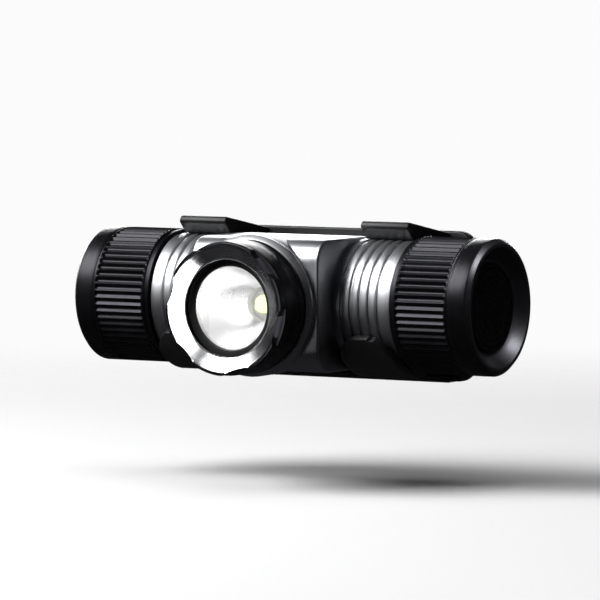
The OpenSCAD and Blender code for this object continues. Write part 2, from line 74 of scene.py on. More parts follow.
def round_corners(corners, steps=4):
    """Closed outline from corners (a, b, radius), each turned into an arc."""
    outline = []
    for i, (a, b, radius) in enumerate(corners):
        here = Vector((a, b))
        last = Vector(corners[i - 1][:2]) - here
        ahead = Vector(corners[(i + 1) % len(corners)][:2]) - here
        half = last.angle(ahead) / 2
        if radius <= 0 or half > 1.55:
            outline.append((a, b))
            continue
        reach = min(radius / math.tan(half), 0.48 * last.length, 0.48 * ahead.length)
        radius = reach * math.tan(half)
        last.normalize()
        ahead.normalize()
        centre = here + (last + ahead).normalized() * radius / math.sin(half)
        first = here + last * reach - centre
        turn = first.angle_signed(here + ahead * reach - centre)
        for k in range(steps + 1):
            s, c = math.sin(-turn * k / steps), math.cos(turn * k / steps)
            outline.append((centre[0] + first[0] * c - first[1] * s,
                            centre[1] + first[0] * s + first[1] * c))
    return outline


def loft(name, rings):
    """A closed skin over rings of equal length, with a flat face at each end."""
    count = len(rings[0])
    faces = [list(range(count)), [(len(rings) - 1) * count + k for k in range(count)]]
    for i in range(len(rings) - 1):
        for k in range(count):
            m = (k + 1) % count
            faces.append([i * count + k, i * count + m, (i + 1) * count + m, (i + 1) * count + k])
    return solid(name, [p for ring in rings for p in ring], faces)


def slab(name, outline, low, high, edge, place, steps=3):
    """A flat piece with rounded edges: outline(inset) is pushed from low to high."""
    turns = [math.pi / 2 * k / steps for k in range(steps + 1)]
    levels = [(low + edge * (1 - math.sin(t)), edge * (1 - math.cos(t))) for t in reversed(turns)]
    levels += [(high - edge * (1 - math.sin(t)), edge * (1 - math.cos(t))) for t in turns]
    return loft(name, [[place(a, b, c) for a, b in outline(inset)] for c, inset in levels])


def arm(name, line, widths, middle, edge=0.5, steps=3):
    """A strip that follows a side view line, with a half width at each of its points."""
    stations = [(p, w, 0) for p, w in zip(line[:-1], widths[:-1])]
    end = Vector(line[-1])
    along = (end - Vector(line[-2])).normalized()
    for k in range(steps + 1):
        t = math.pi / 2 * k / steps
        stations.append((end + along * edge * (math.sin(t) - 1), widths[-1], edge * (1 - math.cos(t))))
    rings = []
    for i, (p, w, inset) in enumerate(stations):
        before, after = stations[max(0, i - 1)][0], stations[min(len(stations) - 1, i + 1)][0]
        along = (Vector(after) - Vector(before)).normalized()
        w, t = w - inset, arm_thick / 2 - inset
        corner = max(edge - inset, 0.06)
        section = round_corners([(w, t, corner), (-w, t, corner), (-w, -t, corner), (w, -t, corner)], 3)
        rings.append([across(p[0] - along[1] * v, p[1] + along[0] * v, middle + u) for u, v in section])
    return loft(name, rings)


def shrunk(outline, inset):
    """A smooth anticlockwise outline, moved inward."""
    moved = []
    for i, point in enumerate(outline):
        back, on = Vector(outline[i - 1]), Vector(outline[(i + 1) % len(outline)])
        into = (Vector(point) - back).normalized() + (on - Vector(point)).normalized()
        into = Vector((-into[1], into[0])).normalized()
        moved.append((point[0] + into[0] * inset, point[1] + into[1] * inset))
    return moved


def spun(name, profile, place, segments=192, change=None):
    """A profile of (radius, height) turned about an axis; change(angle, r, h) may move a point."""
    points, rows, faces = [], [], []
    for r, h in profile:
        if r < 1e-4:
            rows.append([len(points)] * segments)
            points.append(place(0, 0, h))
            continue
        rows.append(list(range(len(points), len(points) + segments)))
        for j in range(segments):
            angle = 2 * math.pi * j / segments
            radius, height = change(angle, r, h) if change else (r, h)
            points.append(place(radius * math.cos(angle), radius * math.sin(angle), height))
    for i, row in enumerate(rows):
        following = rows[(i + 1) % len(rows)]
        for j in range(segments):
            k = (j + 1) % segments
            corner_ids = list(dict.fromkeys((row[j], row[k], following[k], following[j])))
            if len(corner_ids) > 2:
                faces.append(corner_ids)
    return solid(name, points, faces)


def settle(piece):
    """The modifiers' result becomes the piece's own mesh."""
    shown = piece.evaluated_get(bpy.context.evaluated_depsgraph_get())
    mesh = bpy.data.meshes.new_from_object(shown)
    piece.modifiers.clear()
    piece.data = mesh


def machine(piece, tool, operation):
    """Joins a tool's shape to a piece, or cuts it away."""
    change = piece.modifiers.new("machine", "BOOLEAN")
    change.operation, change.object, change.solver = operation, tool, "MANIFOLD"
    settle(piece)
    bpy.data.objects.remove(tool)
    return piece


def dress(piece, finish, body, nodes, angle=32):
    """Shades a piece, gives it its finish, and puts it on its body in place of its CAD nodes."""
    piece.data.shade_smooth()
    piece.data.set_sharp_from_angle(angle=math.radians(angle))
    piece.data.materials.clear()
    piece.data.materials.append(finish)
    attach(piece, body)
    if nodes:
        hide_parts(*nodes)
    return piece


def tint(code):
    """An sRGB hex colour in linear values."""
    parts = [int(code[i:i + 2], 16) / 255 for i in (0, 2, 4)]
    return [p / 12.92 if p <= 0.04045 else ((p + 0.055) / 1.055) ** 2.4 for p in parts] + [1]


def add(tree, kind, inputs=None, **settings):
    """Adds a node with its settings, values and links."""
    new = tree.nodes.new(kind)
    for key, value in settings.items():
        setattr(new, key, value)
    for key, value in (inputs or {}).items():
        if isinstance(value, bpy.types.NodeSocket):
            tree.links.new(value, new.inputs[key])
        else:
            new.inputs[key].default_value = value
    return new


def finish_of(name, **values):
    """A new material with one surface shader; values are the shader's constant inputs."""
    material = bpy.data.materials.new(name)
    material.use_nodes = True
    tree = material.node_tree
    tree.nodes.clear()
    shader = add(tree, "ShaderNodeBsdfPrincipled", {k.replace("_", " "): v for k, v in values.items()})
    add(tree, "ShaderNodeOutputMaterial", {"Surface": shader.outputs[0]})
    return material, tree, shader


def grained(tree, shader, dark, light, rough, blotch_mm, grain_mm, height_mm, stretch=(1, 1, 1)):
    """Colour clouds, a roughness that drifts, and a fine grain in relief, in real sizes."""
    place = add(tree, "ShaderNodeTexCoord").outputs["Object"]
    clouds = add(tree, "ShaderNodeTexNoise", {"Vector": place, "Scale": 1000 / blotch_mm, "Detail": 4.0})
    mixed = add(tree, "ShaderNodeMix", {"Factor": clouds.outputs[0], "A": tint(dark), "B": tint(light)},
                data_type="RGBA")
    tree.links.new(mixed.outputs["Result"], shader.inputs["Base Color"])
    spread = add(tree, "ShaderNodeMapping", {"Vector": place, "Scale": stretch})
    grain = add(tree, "ShaderNodeTexNoise", {
        "Vector": spread.outputs[0], "Scale": 1000 / grain_mm, "Detail": 3.0})
    blend = add(tree, "ShaderNodeMath", {0: grain.outputs[0], 1: clouds.outputs[0]}, operation="ADD")
    drift = add(tree, "ShaderNodeMapRange", {
        0: blend.outputs[0], 1: 0.7, 2: 1.3, 3: rough[0], 4: rough[1]})
    tree.links.new(drift.outputs[0], shader.inputs["Roughness"])
    bump = add(tree, "ShaderNodeBump", {
        "Height": grain.outputs[0], "Distance": height_mm / 1000, "Strength": 1.0})
    tree.links.new(bump.outputs[0], shader.inputs["Normal"])
    return place, grain.outputs[0], bump


# Glass-filled nylon off a spark-eroded mould: near black and matt, with a fine pebble grain that
# breaks up the light, and a few paler clouds where the glass comes near the skin. Grain about 0.4 mm.
nylon, tree, shader = finish_of("nylon_moulded_black", IOR=1.53, Specular_IOR_Level=0.42)
grained(tree, shader, "0c0c0e", "17171a", (0.42, 0.58), 9, 0.42, 0.014)

upper = round_corners([(15.9, 0.3, 0), (15.9, 14.75, 0), (-2.95, 18.12, 0.85), (-3.75, 16.8, 0.8),
                       (-1.45, 14.45, 0.8), (-0.95, 14.06, 0.1)], 5)
upper += [(clip_r * math.cos(math.radians(turn)), clip_r * math.sin(math.radians(turn)))
          for turn in range(92, 1, -5)]
lower = [(arm_line * math.cos(math.radians(turn)), arm_line * math.sin(math.radians(turn)))
         for turn in range(3, -157, -4)]
lower += [(-13.75, -6.38)]
lower_w = []
for a, b in lower:
    past = b + 12.65
    round_end = max(1.5, math.sqrt(max(0, tab_half ** 2 - past ** 2)))
    lower_w.append(tab_half if a > 0 or past < 0 else round_end)



def plate_outline(i, half=plate_half, top=plate_top, low=plate_low, corner=plate_round):
    """Outline of the back plate, or of a sheet like it, less an inset."""
    return round_corners([(half - i, top - i, corner - i), (i - half, top - i, corner - i),
                          (i - half, low + i, corner - i), (half - i, low + i, corner - i)], 8)


bracket = slab("bracket_moulding", plate_outline, 15.38, 17.78, 0.45, back_to_front)
foot = slab("foot", lambda i: round_corners([
    (11.78 + i, plate_low + i, 0.4), (17.5, plate_low + i, 0), (17.5, -16.53 - i, 0),
    (11.78 + i, -16.53 - i, 0.4)], 3), -31, 31, 0.4, across)
machine(bracket, foot, "UNION")
for side in (-1, 1):
    machine(bracket, slab("upper_arm", lambda i: shrunk(upper, i), side * clip_mid - clip_half,
                          side * clip_mid + clip_half, 0.35, across), "UNION")
    machine(bracket, arm("lower_arm", lower, lower_w, side * clip_mid), "UNION")
for x in (-screw_x, screw_x):
    for z in (-screw_z, screw_z):
        hole = spun("hole", [(0, 20), (screw_r, 20), (screw_r, 17.33), (4.3, 15.28), (4.3, 14), (0, 14)],
                    lambda a, b, h, x=x, z=z: (x + a, axis_y + h, z + b), 48)
        machine(bracket, hole, "DIFFERENCE")
dress(bracket, nylon, "helmet_bracket", ["bracket"])

# ---- Mounting pad -----------------------------------------------------------
# A die-cut sheet of closed-cell rubber between the bracket and the helmet's shell.
# It is stuck to the bracket, and lets the plate sit on a curved shell without rocking.

# Closed-cell rubber, die cut: dull charcoal, with the open cells of a cut skin as pits of 0.5 mm.
foam, tree, shader = finish_of("rubber_foam_cut", IOR=1.5, Specular_IOR_Level=0.25)
place, grain, bump = grained(tree, shader, "1a1a1b", "29292b", (0.8, 0.95), 6, 0.9, 0.05)
cells = add(tree, "ShaderNodeTexVoronoi", {"Vector": place, "Scale": 2000.0})
pits = add(tree, "ShaderNodeBump", {"Height": cells.outputs["Distance"], "Normal": bump.outputs[0],
                                    "Distance": 0.00008, "Strength": 0.7})
tree.links.new(pits.outputs[0], shader.inputs["Normal"])

pad_half, pad_top, pad_low, pad_round = 33, 13.3, -15.93, 3
pad = slab("mounting_pad", lambda i: round_corners([
    (pad_half - i, pad_top - i, pad_round), (i - pad_half, pad_top - i, pad_round),
    (i - pad_half, pad_low + i, pad_round), (pad_half - i, pad_low + i, pad_round)], 8),
    17.78, 19.28, 0.15, back_to_front, 2)
for x in (-screw_x, screw_x):
    for z in (-screw_z, screw_z):
        hole = spun("hole", [(0, 20), (screw_r, 20), (screw_r, 17), (0, 17)],
                    lambda a, b, h, x=x, z=z: (x + a, axis_y + h, z + b), 48)
        machine(pad, hole, "DIFFERENCE")
dress(pad, foam, "helmet_bracket", ["mount_pad"])

# ---- Body -------------------------------------------------------------------
# One piece of aluminium: a tube turned with cooling grooves, a milled block in its middle, and a
# collar and neck for the bezel. It is blasted lightly, then anodised clear.


tube_r, groove_r, groove_half, groove_step = 14, 13.5, 0.4, 2.22
block_half, block_r, block_front, block_round = 15.98, 14.5, 20, 5
collar_r, bore_r = 15.48, 11.1


def ahead(a, b, h):
    """A point about the head's axis, h in front of the tube's axis."""
    return a, axis_y - h, b


def out_along(side):
    """Points about the tube's axis, at a height that runs out to one end."""
    return lambda a, b, h: (side * h, axis_y + a, b)


def block_outline(i):
    """Side view of the block, round behind and flat above, below and in front, less an inset."""
    r = block_r - i
    rear = [(r * math.sin(math.pi * k / 48), r * math.cos(math.pi * k / 48)) for k in range(49)]
    front = round_corners([(0, -r, 0), (i - block_front, -r, block_round - i),
                           (i - block_front, r, block_round - i), (0, r, 0)], 12)[1:-1]
    return rear + front


half = [(tube_r, 16)]
for k in range(1, 6):
    low, high = block_half + k * groove_step - groove_half, block_half + k * groove_step + groove_half
    half += [(tube_r, low, 0.1), (groove_r, low, 0.1), (groove_r, high, 0.1), (tube_r, high, 0.1)]
half += [(tube_r, 30.3, 0.3), (13, 30.3, 0.1), (13, 31.3, 0.12), (11.88, 31.3, 0.2), (11.88, 32.8, 0.2),
         (13, 32.8, 0.12), (13, 33.3, 0.1), (12.45, 33.7, 0.1), (12.45, 38, 0.1), (11.95, 38.5, 0.1)]
outline = [(0, -38.5, 0)] + [(c[0], -c[1], c[2] if len(c) > 2 else 0) for c in reversed(half)]
outline += [(c[0], c[1], c[2] if len(c) > 2 else 0) for c in half] + [(0, 38.5, 0)]
lamp_body = spun("lamp_body", round_corners(outline, 3), out_along(1), 256)
machine(lamp_body, slab("block", block_outline, -block_half, block_half, 0.5, across, 6), "UNION")
collar = spun("collar", round_corners([
    (0, 15, 0), (collar_r, 15, 0.3), (collar_r, 20.3, 0.08), (15.2, 20.5, 0.05), (15.2, 20.8, 0.05),
    (collar_r, 21, 0.08), (collar_r, 21.6, 0.25), (14.58, 22.6, 0.15), (13.2, 22.6, 0.1),
    (13.2, 26.2, 0.3), (0, 26.2, 0)], 3), ahead, 256)
machine(lamp_body, collar, "UNION")
bore = spun("bore", [(0, -40), (bore_r, -40), (bore_r, 40), (0, 40)], out_along(1), 160)
machine(lamp_body, bore, "DIFFERENCE")
machine(lamp_body, spun("well", [(0, 12.8), (11.6, 12.8), (11.6, 28), (0, 28)], ahead, 160), "DIFFERENCE")
channel = slab("channel", lambda i: [(1.6, -11.6), (1.6, -10.6), (-1.6, -10.6), (-1.6, -11.6)],
               -40, -5, 0.01, lambda a, b, c: (c, axis_y + b, a))
machine(lamp_body, channel, "DIFFERENCE")
machine(lamp_body, spun("lead_hole", [(0, 10), (1.2, 10), (1.2, 14), (0, 14)],
                        lambda a, b, h: (a - 6.2, axis_y - h, b), 32), "DIFFERENCE")

# Aluminium, turned, lightly blasted and anodised clear: a pale satin grey whose highlight runs along
# the tube. Fine turning rings, 0.3 mm apart, break the highlight up, and the roughness drifts.
clear_anodised, tree, shader = finish_of("aluminium_anodised_clear", Metallic=1.0)
grained(tree, shader, "c4c6c9", "dadbde", (0.34, 0.46), 12, 0.3, 0.0012, (1, 0.04, 0.04))
dress(lamp_body, clear_anodised, "lamp", ["body"], 18)


def tree_with(name, sizes, *pieces):
    """A geometry node tree that takes pieces, sizes and a finish, and gives a mesh."""
    group = bpy.data.node_groups.new(name, "GeometryNodeTree")
    asked = [(piece, "NodeSocketGeometry") for piece in pieces]
    asked += [(size, "NodeSocketFloat") for size in sizes] + [("Finish", "NodeSocketMaterial")]
    ids = {label: group.interface.new_socket(label, in_out="INPUT", socket_type=kind).identifier
           for label, kind in asked}
    group.interface.new_socket("Geometry", in_out="OUTPUT", socket_type="NodeSocketGeometry")
    return group, ids, add(group, "NodeGroupInput").outputs


def end_tree(group, shape, finish):
    """Realizes what a tree has placed, and gives it its finish."""
    real = add(group, "GeometryNodeRealizeInstances", {0: shape})
    made = add(group, "GeometryNodeSetMaterial", {"Geometry": real.outputs[0], "Material": finish})
    add(group, "NodeGroupOutput", {0: made.outputs[0]})


def thread_tree():
    """Geometry nodes for a thread: a spiral with a vee section, laid along the tube."""
    group, ids, given = tree_with("thread", ("Turns", "Radius", "Length", "Crest"))
    spiral = add(group, "GeometryNodeCurveSpiral", {
        "Resolution": 72, "Rotations": given["Turns"], "Start Radius": given["Radius"],
        "End Radius": given["Radius"], "Height": given["Length"]})
    section = add(group, "GeometryNodeCurvePrimitiveCircle", {"Resolution": 3, "Radius": given["Crest"]})
    ridge = add(group, "GeometryNodeCurveToMesh", {
        "Curve": spiral.outputs[0], "Profile Curve": section.outputs[0], "Fill Caps": True})
    end_tree(group, ridge.outputs[0], given["Finish"])
    return group, ids


def grow(name, group, values, points=(), faces=()):
    """Runs a geometry node tree once and keeps its result as a plain mesh."""
    piece = solid(name, points, faces)
    maker = piece.modifiers.new("maker", "NODES")
    maker.node_group = group
    for identifier, value in values.items():
        maker[identifier] = value
    settle(piece)
    return piece


def lay(piece, place):
    """Moves each point of a mesh made upright about Z to its place, in millimetres."""
    for v in piece.data.vertices:
        v.co = Vector(place(*[c * 1000 for c in v.co])) / 1000
    shape = bmesh.new()
    shape.from_mesh(piece.data)
    bmesh.ops.recalc_face_normals(shape, faces=shape.faces)
    shape.to_mesh(piece.data)
    shape.free()
    return piece


# The threads stand on the necks: 1.25 mm pitch, cut before anodising, so they shine as the tube does.
group, socket = thread_tree()
for side, label in ((1, "switch"), (-1, "contact")):
    thread = grow(label + "_end_thread", group, {
        socket["Turns"]: 3.2, socket["Radius"]: 0.01258, socket["Length"]: 0.004, socket["Crest"]: 0.00042,
        socket["Finish"]: clear_anodised})
    lay(thread, lambda a, b, h, side=side: (side * (33.9 + h), axis_y + a, b))
    dress(thread, clear_anodised, "lamp", [], 60)

# ---- Bezel ------------------------------------------------------------------
# An aluminium ring screwed on the head's neck, which holds the glass down. Six shallow scallops are
# milled in its rim. It is anodised black, and then its funnel is cut bright round the glass.
bezel_r, scallop_back, scallop_r, scallop_cut = 14.58, 31.5, 15, 1.3
funnel_r, funnel_low, funnel_wide, funnel_rise = 10.6, 31.6, 3.2, 1.9


def scallop(angle, r, h):
    """A point of the bezel, moved in where a scallop cuts the rim."""
    if h < scallop_back:
        return r, h
    turn = (angle - math.radians(45)) % (math.pi / 3)
    turn = min(turn, math.pi / 3 - turn)
    far = bezel_r + scallop_r - scallop_cut
    inside = scallop_r ** 2 - (far * math.sin(turn)) ** 2
    limit = far * math.cos(turn) - math.sqrt(inside) if inside > 0 else 99
    if r <= limit:
        return r, h
    return limit, min(h, funnel_low + (limit - funnel_r) * funnel_rise / funnel_wide)


funnel = [(funnel_r + funnel_wide * k / 12, funnel_low + funnel_rise * k / 12) for k in range(1, 12)]
ring = [(13.28, 23.4), (13.38, 23.3), (14.43, 23.3), (14.54, 23.34), (bezel_r, 23.45), (bezel_r, 24.3),
        (14.5, 24.4), (14.5, 24.7), (bezel_r, 24.8), (bezel_r, 28), (bezel_r, 30), (bezel_r, 31.35),
        (14.56, 31.45), (14.5, 31.499), (bezel_r, 31.501), (bezel_r, 32.2), (bezel_r, 33), (14.53, 33.2),
        (14.4, 33.38), (14.2, 33.47), (14, 33.5), (13.85, 33.48)]
ring += list(reversed(funnel)) + [(10.66, 31.58), (funnel_r, 31.5), (funnel_r, 30.25), (10.65, 30.2),
                                  (11.7, 30.2), (11.7, 26.4), (13.28, 26.4)]
bezel = spun("bezel_ring", ring, ahead, 360, scallop)

# Hard anodised aluminium, dyed black: a deep satin black whose highlights stay narrow, a shade
# greyer in clouds. The turning rings under the dye are 0.2 mm apart.
black_anodised, tree, shader = finish_of("aluminium_anodised_black", Metallic=0.85, IOR=1.6)
grained(tree, shader, "1a1a1d", "28282c", (0.3, 0.42), 7, 0.2, 0.0015, (1, 0.08, 0.08))

# Aluminium, cut with a diamond tool after anodising: almost a mirror, widened a little by fine rings
# and by hair scratches from being set down on its face.
bright_cut, tree, shader = finish_of("aluminium_diamond_cut", Metallic=1.0)
grained(tree, shader, "dedfe1", "ececee", (0.12, 0.22), 8, 0.5, 0.0006, (0.2, 1.6, 0.2))

dress(bezel, black_anodised, "lamp", ["bezel"], 40)
bezel.data.materials.append(bright_cut)
for face in bezel.data.polygons:
    x, y, z = face.center * 1000
    face.material_index = int(10.62 < math.hypot(x, z) < 13.72 and 31.5 < axis_y - y < 33.49)

# ---- Seals ------------------------------------------------------------------
# Nitrile O-rings under the caps and the bezel, and a flat moulded ring in front of the glass.
# They are greased when fitted, so they are black with a soft shine.

# Nitrile rubber, moulded: black and smooth, with a soft shine from silicone grease.
nitrile, tree, shader = finish_of("rubber_nitrile_greased", IOR=1.52, Coat_Weight=0.25, Coat_Roughness=0.3)
grained(tree, shader, "070707", "111112", (0.4, 0.6), 3, 0.2, 0.004)
gasket = spun("glass_seal", round_corners([
    (9.05, 29.4, 0.1), (11.6, 29.4, 0.1), (11.6, 30.2, 0.1), (9.05, 30.15, 0.3)], 4), ahead, 192)
dress(gasket, nitrile, "lamp", ["lens_gasket"])


def cord(ring_r, h, cord_r, sides):
    """Section of an O-ring."""
    turns = [2 * math.pi * k / sides for k in range(sides)]
    return [(ring_r + cord_r * math.cos(turn), h + cord_r * math.sin(turn)) for turn in turns]


for label, node, side in (("switch_end_seal", "switch_cap_oring", 1),
                          ("contact_end_seal", "contact_cap_oring", -1)):
    seal = spun(label, cord(12.455, 32.05, 0.565, 16), out_along(side), 160)
    dress(seal, nitrile, "lamp", [node], 80)
seal = spun("bezel_seal", cord(13.6, 22.95, 0.34, 12), ahead, 160)
dress(seal, nitrile, "lamp", ["bezel_oring"], 80)

# ---- Glass and reflector ----------------------------------------------------
# A disc of toughened glass with ground edges, and behind it a moulded bowl with aluminium
# deposited on it in vacuum, pressed against the glass's back.

# Toughened glass, coated against reflections: clear, with a faint mirror of the lights on its face.
glass, tree, shader = finish_of("glass_toughened_coated", IOR=1.5, Transmission_Weight=1.0, Roughness=0.0,
                                Coat_Weight=0.15, Coat_Roughness=0.02)
place = add(tree, "ShaderNodeTexCoord").outputs["Object"]
smears = add(tree, "ShaderNodeTexNoise", {"Vector": place, "Scale": 180.0, "Detail": 4.0})
drift = add(tree, "ShaderNodeMapRange", {0: smears.outputs[0], 1: 0.5, 2: 0.8, 3: 0.0, 4: 0.04})
tree.links.new(drift.outputs[0], shader.inputs["Roughness"])
lens = spun("front_glass", round_corners([
    (0, 27.3, 0), (11.5, 27.3, 0.2), (11.5, 29.4, 0.2), (0, 29.4, 0)], 2), ahead, 192)
dress(lens, glass, "lamp", ["lens"])

# Aluminium deposited in vacuum on a lacquered moulding: a bright mirror with a gentle orange peel,
# about 0.9 mm across, which smooths the beam.
mirror, tree, shader = finish_of("aluminium_vacuum_coat", Metallic=1.0)
grained(tree, shader, "fafafa", "ffffff", (0.24, 0.34), 5, 0.9, 0.006)


bowl_base, bowl_deep, throat_r, mouth_r, bowl_wall = 18.9, 8.4, 3, 10.3, 0.7


def bowl(h):
    """Inner radius of the reflector, a parabola, at a height above its base."""
    return math.sqrt(throat_r ** 2 + (mouth_r ** 2 - throat_r ** 2) * h / bowl_deep)


inner = [(bowl(bowl_deep * k / 32), bowl_base + bowl_deep * k / 32) for k in range(33)]
outer = [(bowl(7.4 * k / 16) + bowl_wall, bowl_base + 7.4 * k / 16) for k in range(16, -1, -1)]
flange = [(10.42, 27.3), (11.3, 27.3), (11.4, 27.2), (11.4, 26.35), (11.35, 26.3)]
reflector = spun("reflector_bowl", inner + flange + outer, ahead, 192)
dress(reflector, mirror, "lamp", ["reflector"])

# ---- Light source -----------------------------------------------------------
# One LED on a copper-core board, centred by a plastic ring: a white ceramic base with bond pads, a
# square of yellow phosphor and a silicone dome. A solid aluminium disc takes the heat to the head.


def keep(nodes, finish):
    """Gives CAD nodes that keep their shape their finish."""
    for name in nodes:
        for place_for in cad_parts[name].material_slots:
            place_for.material = finish


# White PBT, moulded: clean and slightly waxy, with a fine even grain.
white_plastic, tree, shader = finish_of("plastic_pbt_white", IOR=1.52, Subsurface_Weight=0.0)
grained(tree, shader, "dcdbd5", "eae9e4", (0.35, 0.5), 5, 0.3, 0.006)
centring = spun("centring_ring", round_corners([
    (2.63, 18.2, 0.2), (3.3, 17.95, 0), (4.2, 17.9, 0.1), (4.2, 18.9, 0.15), (3.05, 18.9, 0.1)], 3),
    ahead, 96)
dress(centring, white_plastic, "lamp", ["led_spacer"])
keep(["cell_insulator", "switch_carrier", "contact_holder"], white_plastic)

# Fired alumina: matt white with a slightly chalky grain.
ceramic, tree, shader = finish_of("ceramic_alumina_fired", IOR=1.7)
grained(tree, shader, "d9d9cf", "e6e6de", (0.4, 0.55), 1.5, 0.12, 0.003)
keep(["led_base"], ceramic)

# Phosphor in silicone: a soft yellow with grains of 0.05 mm, and a painted glow: a steady yellow emission
# that makes it look lit whatever the lights.
phosphor_painted_glow, tree, shader = finish_of("phosphor_in_silicone_painted_glow", IOR=1.45, Emission_Color=tint("f3f8c8"),
                                   Emission_Strength=0.85, Roughness=0.6)
grained(tree, shader, "eceebc", "f6f6d4", (0.5, 0.7), 0.6, 0.08, 0.004)
# The phosphor's finish carries the painted glow, a steady emission that stands in for a lit LED.
keep(["led_phosphor"], phosphor_painted_glow)

# Clear silicone, moulded on the base: glossy and colourless.
silicone, tree, shader = finish_of("silicone_clear_moulded", IOR=1.41, Transmission_Weight=1.0,
                                   Roughness=0.02)
grained(tree, shader, "fbfbf2", "ffffff", (0.01, 0.05), 1, 0.4, 0.001)
keep(["led_dome"], silicone)

# Copper, rolled and lacquered: salmon red with rolling lines and browner clouds.
copper, tree, shader = finish_of("copper_rolled_lacquered", Metallic=1.0)
grained(tree, shader, "b5673f", "d78d62", (0.22, 0.4), 4, 0.2, 0.004, (0.05, 1, 1))
keep(["positive_strip"], copper)

# White solder mask over the board's copper core: smooth, with a soft shine and a faint cast of cream.
masked, tree, shader = finish_of("solder_mask_white", IOR=1.52, Coat_Weight=0.2, Coat_Roughness=0.2)
grained(tree, shader, "e6e6df", "f3f3ee", (0.3, 0.45), 2, 0.2, 0.003)
keep(["led_board"], masked)

# Silicone lead insulation: red, soft and slightly dull.
lead_red, tree, shader = finish_of("silicone_insulation_red", IOR=1.43)
grained(tree, shader, "8e1512", "ab201a", (0.4, 0.55), 2, 0.2, 0.004)
keep(["led_leads", "positive_lead", "click_plunger"], lead_red)

# Aluminium, faced on a lathe and left bare: brighter than the body, with clear tool rings.
faced, tree, shader = finish_of("aluminium_faced_bare", Metallic=1.0)
grained(tree, shader, "bcbdbf", "d4d5d6", (0.25, 0.4), 6, 0.3, 0.008, (1, 0.1, 1))
keep(["heat_sink"], faced)

# ---- Driver and cell --------------------------------------------------------
# The driver board stands on a shelf above the bore, fed by a lead from the positive strip. The cell
# is a nickel-plated steel can in a shrunk sleeve, with a paper ring under its button.

# Glass-epoxy board with solder mask: glossy dark green, with the weave showing through at 0.6 mm.
board, tree, shader = finish_of("glass_epoxy_solder_mask", IOR=1.55, Coat_Weight=0.4, Coat_Roughness=0.12)
place, grain, bump = grained(tree, shader, "0c3d22", "125230", (0.25, 0.4), 3, 0.3, 0.004)
weave = add(tree, "ShaderNodeTexWave", {"Vector": place, "Scale": 500.0, "Distortion": 0.4})
woven = add(tree, "ShaderNodeBump", {"Height": weave.outputs[1], "Normal": bump.outputs[0],
                                     "Distance": 0.00001, "Strength": 0.5})
tree.links.new(woven.outputs[0], shader.inputs["Normal"])
keep(["driver_board", "switch_board", "contact_board"], board)

# Epoxy moulding compound and ferrite: matt black with a fine even grain.
compound, tree, shader = finish_of("epoxy_moulding_compound", IOR=1.55)
grained(tree, shader, "101012", "1b1b1e", (0.5, 0.7), 1.5, 0.12, 0.004)
keep(["driver_parts", "click_switch"], compound)

# Nickel plate on drawn steel: bright and slightly warm, with drawing lines along the can.
nickel, tree, shader = finish_of("nickel_plated_steel", Metallic=1.0)
grained(tree, shader, "b9b5ab", "d2cfc6", (0.2, 0.34), 8, 0.25, 0.003, (0.05, 1, 1))
keep(["cell_can", "cell_button"], nickel)

# Shrunk PVC sleeve: glossy blue, a little wavy where it has shrunk.
sleeve, tree, shader = finish_of("pvc_sleeve_shrunk", IOR=1.54, Coat_Weight=0.3, Coat_Roughness=0.1)
grained(tree, shader, "1d4f9c", "245bb0", (0.25, 0.35), 10, 4, 0.05)
keep(["cell_wrap"], sleeve)

# ---- Contacts ---------------------------------------------------------------
# A conical spring, a board and a threaded ring in each cap. They are brass and phosphor bronze,
# gilded so that they don't tarnish.

# Gilded brass: a warm yellow metal with fine tool lines.
gilded, tree, shader = finish_of("brass_gilded", Metallic=1.0)
grained(tree, shader, "c9a24c", "e2bf68", (0.18, 0.32), 4, 0.2, 0.003)
keep(["switch_ring", "contact_ring", "switch_spring", "contact_spring"], gilded)

# ---- End caps ---------------------------------------------------------------
# Two aluminium caps, turned, with straight flutes milled round them for gloved fingers. They are
# hard anodised black: the switch end has a funnel round its boot, the other end a shallow dish.


def flute_tree():
    """Geometry nodes that mill straight flutes round a turned cap."""
    flutes, ids, given = tree_with(
        "flutes", ("Flutes", "Depth", "Axis", "Radius", "Start", "End", "Run Out"), "Cap")

    def sum_of(operation, *values):
        return add(flutes, "ShaderNodeMath", dict(enumerate(values)), operation=operation).outputs[0]

    point = add(flutes, "GeometryNodeInputPosition").outputs[0]
    xyz = add(flutes, "ShaderNodeSeparateXYZ", {0: point}).outputs
    behind = sum_of("SUBTRACT", xyz[1], given["Axis"])
    square = sum_of("ADD", sum_of("MULTIPLY", behind, behind), sum_of("MULTIPLY", xyz[2], xyz[2]))
    radius = sum_of("SQRT", square)
    wave = sum_of("COSINE", sum_of("MULTIPLY", sum_of("ARCTAN2", xyz[2], behind), given["Flutes"]))
    groove = sum_of("POWER", sum_of("MULTIPLY", sum_of("SUBTRACT", 1.0, wave), 0.5), 0.7)
    along = sum_of("ABSOLUTE", xyz[0])
    rise = sum_of("DIVIDE", sum_of("SUBTRACT", along, given["Start"]), given["Run Out"])
    fall = sum_of("DIVIDE", sum_of("SUBTRACT", given["End"], along), given["Run Out"])
    share = sum_of("MAXIMUM", sum_of("MINIMUM", sum_of("MINIMUM", rise, fall), 1.0), 0.0)
    skin = sum_of("GREATER_THAN", radius, sum_of("SUBTRACT", given["Radius"], 0.0001))
    cut = sum_of("MULTIPLY", sum_of("MULTIPLY", groove, sum_of("MULTIPLY", share, skin)), given["Depth"])
    ratio = sum_of("DIVIDE", sum_of("MULTIPLY", cut, -1.0), radius)
    move = add(flutes, "ShaderNodeCombineXYZ", {1: sum_of("MULTIPLY", behind, ratio),
                                                2: sum_of("MULTIPLY", xyz[2], ratio)})
    milled = add(flutes, "GeometryNodeSetPosition", {"Geometry": given["Cap"], "Offset": move.outputs[0]})
    end_tree(flutes, milled.outputs[0], given["Finish"])
    return flutes, ids


